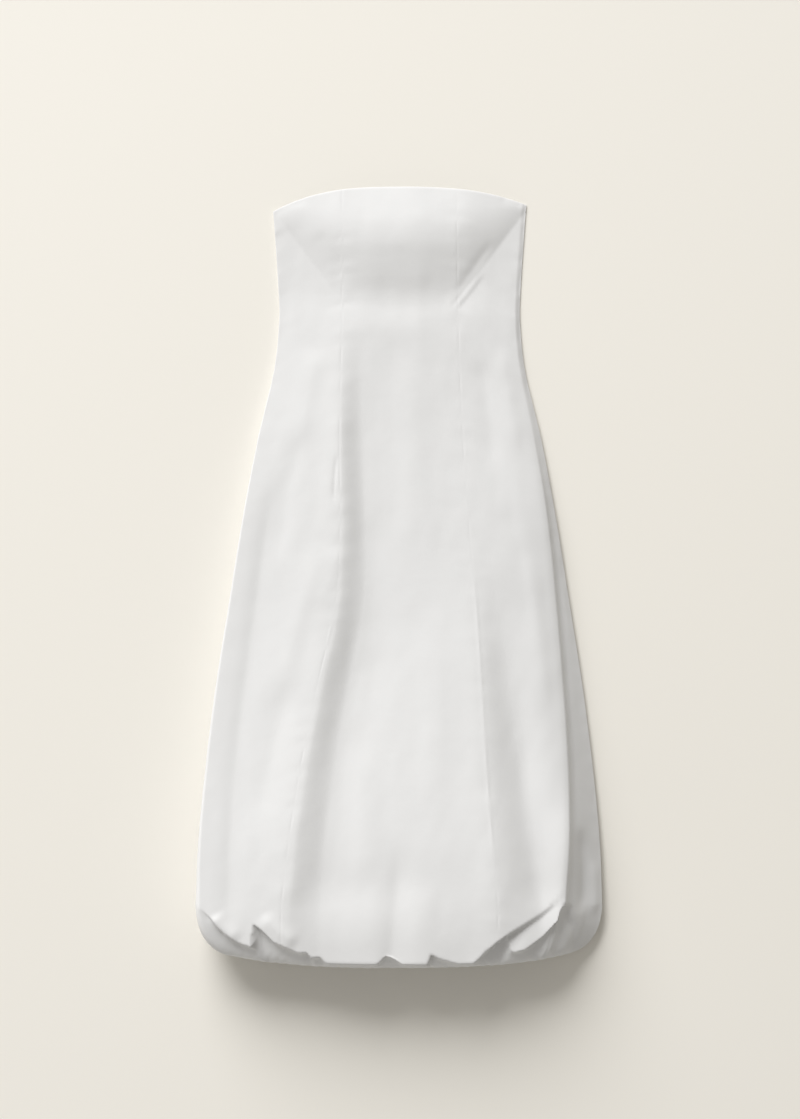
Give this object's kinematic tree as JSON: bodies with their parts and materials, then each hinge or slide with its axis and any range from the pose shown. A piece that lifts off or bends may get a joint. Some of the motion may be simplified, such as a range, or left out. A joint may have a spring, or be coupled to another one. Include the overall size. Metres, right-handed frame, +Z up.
{
  "type": "strapless dress",
  "caption": "Strapless dress with princess seams and a gathered balloon hem, laid flat on its back with the skirt puffed out.",
  "frame": {"origin": "middle of the ground that the dress covers, on the surface it lies on", "axes": "+X towards the wearer's left side, +Y from the hem to the neckline, +Z up from the back to the front of the dress"},
  "size_m": [0.607, 1.1664, 0.0983],
  "materials": {
    "cotton": "matte white cotton poplin"
  },
  "bodies": {
    "root": {"centre_front": "cotton", "side_front_right": "cotton", "side_front_left": "cotton", "side_back_right": "cotton", "side_back_left": "cotton", "centre_back_right": "cotton", "centre_back_left": "cotton"}
  },
  "joints": []
}
